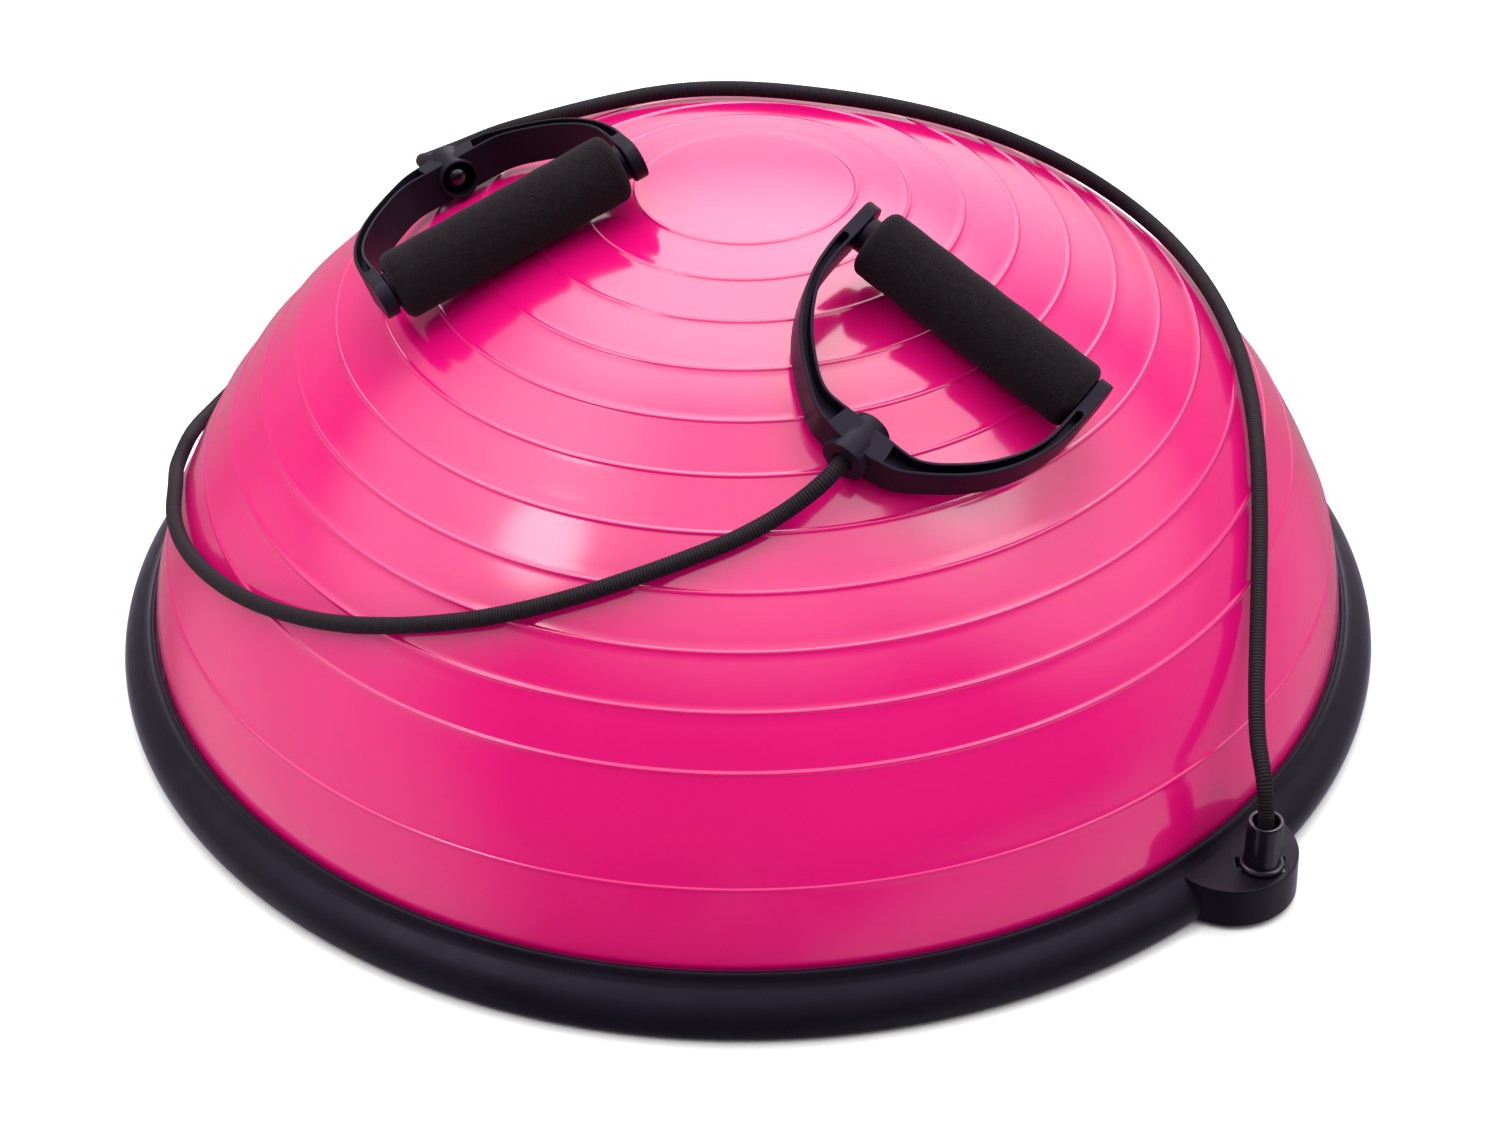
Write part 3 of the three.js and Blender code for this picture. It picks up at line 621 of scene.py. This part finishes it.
def yoke():
    out, inn = smooth(BOW_OUT), smooth(BOW_IN)
    loop = out + flip(out)[::-1] + flip(inn) + inn[::-1]
    body = prism(loop, -9, 9, 0.7, 0.7)
    # end plates
    end = [(11, -9), (11, 9)] + [(-4.5 + 9 * math.cos(math.pi / 2 + k * math.pi / 24), 9 * math.sin(math.pi / 2 + k * math.pi / 24)) for k in range(25)]
    parts = []
    for x0 in (60.5, -67.0):
        parts.append(prism(end, x0, x0 + 6.5, 0.7, 0.7, ALONG_X))
    for a in (54.0, -63.5):
        parts.append(lathe([(0, a), (6.2, a), (6.2, a + 9.5), (0, a + 9.5)], 40, matrix=ALONG_X))
    # hub
    parts.append(lathe([(0, 75.5), (8.9, 75.5), (9.3, 75.9), (9.5, 82), (10.5, 88), (10.5, 96.7), (10.2, 97.3), (9.7, 97.5), (0, 97.5)], 72, matrix=ALONG_Y))
    body = boolean(body, parts, "UNION")
    # recessed channels on both faces
    cuts = []
    w = 1.55
    def side(points, d, lead):
        q = np.array(smooth(points, 1.6))
        t = np.gradient(q, axis=0)
        t /= np.linalg.norm(t, axis=1)[:, None]
        n = np.c_[-t[:, 1], t[:, 0]]
        return [tuple(map(float, v)) for v in q + n * d], q
    o_all, q0 = side(BOW_OUT, w, 0)
    i_all, q1 = side(BOW_IN, -w, 0)
    # from beside the plate to a wall just before the hub
    start = 12.0
    o1 = [q for q in o_all if q[1] > start and q[0] > 12.9]
    i1 = [q for q in i_all if q[1] > start and q[0] > 12.9]
    r = 0.5 * math.hypot(o1[0][0] - i1[0][0], o1[0][1] - i1[0][1])
    cx, cy = 0.5 * (o1[0][0] + i1[0][0]), start + 0.6
    cap = [(cx - r * math.cos(k * math.pi / 8), cy - r * math.sin(k * math.pi / 8)) for k in range(1, 8)]
    main = o1 + i1[::-1] + cap
    for loop in (main,):
        for p in (loop, flip(loop)):
            cuts.append(prism(p, 2.6, 9.05, 0, -0.4))
            cuts.append(prism(p, -9.05, -2.6, -0.4, 0))
    cuts.append(lathe([(0, 73.0), (8.3, 73.0), (8.3, 75.6), (7.9, 76.1), (7.6, 89.4), (7.0, 90), (0, 90)], 48, matrix=ALONG_Y))
    cuts.append(lathe([(0, 85), (4.4, 85), (4.4, 96.9), (5.0, 97.6), (5.0, 99), (0, 99)], 40, matrix=ALONG_Y))
    return boolean(body, cuts, "DIFFERENCE")


YOKE = yoke()
for i, (at, x, y, shift) in enumerate(HANDLES):
    n = i + 1
    x, y, z = frame_of(x, y)
    M = Matrix(((x.x, y.x, z.x, at[0]), (x.y, y.y, z.y, at[1]), (x.z, y.z, z.z, at[2]), (0, 0, 0, 1)))
    put(YOKE.copy(), f"yoke_{n}", f"handle_{n}", HANDLE, f"handle_yoke_{n}", sharp=38, weighted=True, matrix=M)
    ball = [(0, 76.6)] + [(6.8 * math.sin(k * math.pi / 16), 83.4 - 6.8 * math.cos(k * math.pi / 16)) for k in range(1, 13)] + [(3.6, 88.9), (3.6, 90.4), (0, 90.4)]
    put(lathe(ball, 48, matrix=M @ ALONG_Y), f"ball_{n}", f"handle_{n}", BALL, f"hub_stop_{n}", sharp=50)
    core = [(6.6, -60.1), (8.2, -60.1), (8.5, -59.8), (8.5, 59.8), (8.2, 60.1), (6.6, 60.1)]
    put(lathe(core, 48, matrix=M @ ALONG_X), f"core_{n}", f"grip_{n}", HANDLE, f"grip_core_{n}", sharp=40)
    e = 57.75
    soft = [(8.8, -e + 0.6), (9.6, -e)]
    R = 4.6
    soft += [(16 - R + R * math.sin(k * math.pi / 16), -e + R - R * math.cos(k * math.pi / 16)) for k in range(0, 9)]
    soft += [(16 + 0.12 * math.sin(s * 0.31), s) for s in np.linspace(-e + R + 2, e - R - 2, 40)]
    soft += [(16 - R + R * math.cos(k * math.pi / 16), e - R + R * math.sin(k * math.pi / 16)) for k in range(0, 9)]
    soft += [(9.6, e), (8.8, e - 0.6)]
    foam = lathe([(float(r), float(s) + shift) for r, s in soft], 96, matrix=M @ ALONG_X)
    o = put(foam, f"foam_{n}", f"grip_{n}", FOAM, f"grip_foam_{n}", sharp=60)

# ------------------------------------------------------------------ floor and light
me = bpy.data.meshes.new("floor")
me.from_pydata([(-9, -9, 0), (9, -9, 0), (9, 9, 0), (-9, 9, 0)], [], [(0, 1, 2, 3)])
floor = bpy.data.objects.new("floor", me)
floor.location.z = -0.0003
scene.collection.objects.link(floor)
a = Mat("floor_paint", (230, 230, 230), 0.95, Specular_IOR_Level=0.0)
a.color(a.noise(1.5, 2), [(0.3, (229, 229, 229)), (0.7, (231, 231, 231))])
me.materials.append(a.m)

world = bpy.data.worlds.new("studio")
world.use_nodes = True
wt = world.node_tree
way = wt.nodes.new("ShaderNodeTexCoord").outputs["Generated"]


def ramp(value, from_min, from_max, to_min, to_max):
    n = wt.nodes.new("ShaderNodeMapRange")
    n.interpolation_type = "SMOOTHSTEP"
    for k, v in zip(("From Min", "From Max", "To Min", "To Max"), (from_min, from_max, to_min, to_max)):
        n.inputs[k].default_value = v
    wt.links.new(value, n.inputs["Value"])
    return n.outputs["Result"]


def glow(azimuth, elevation, inner, outer, level):
    """Soft-edged round light: azimuth from the front (-Y) towards +X, angles in degrees."""
    az, el = math.radians(azimuth), math.radians(elevation)
    n = wt.nodes.new("ShaderNodeVectorMath")
    n.operation = "DOT_PRODUCT"
    n.inputs[1].default_value = (math.sin(az) * math.cos(el), -math.cos(az) * math.cos(el), math.sin(el))
    wt.links.new(way, n.inputs[0])
    return ramp(n.outputs["Value"], math.cos(math.radians(outer)), math.cos(math.radians(inner)), 0.0, level)


height = wt.nodes.new("ShaderNodeSeparateXYZ")
wt.links.new(way, height.inputs[0])
levels = [
    ramp(height.outputs[2], -0.1, 0.2, 0.03, 0.14),
    glow(0, 86, 12, 56, 2.1),
    glow(178, 57, 8, 34, 3.9),
    glow(-92, 46, 10, 36, 1.9),
    glow(-66, 51, 4, 10, 7.0),
    glow(92, 44, 10, 40, 1.6),
    glow(79, 53, 4, 13, 2.0),
    glow(180, 6, 20, 80, 0.3),
    glow(168, 23, 10, 36, 1.2),
    glow(-84, -16, 12, 50, 0.85),
    glow(98, -20, 12, 44, 0.36),
    glow(50, -36, 14, 40, 0.5),
]
total = levels[0]
for v in levels[1:]:
    n = wt.nodes.new("ShaderNodeMath")
    n.operation = "ADD"
    wt.links.new(total, n.inputs[0])
    wt.links.new(v, n.inputs[1])
    total = n.outputs[0]
wt.nodes["Background"].inputs["Color"].default_value = (1, 1, 1, 1)
wt.links.new(total, wt.nodes["Background"].inputs["Strength"])
scene.world = world
floor.visible_glossy = False
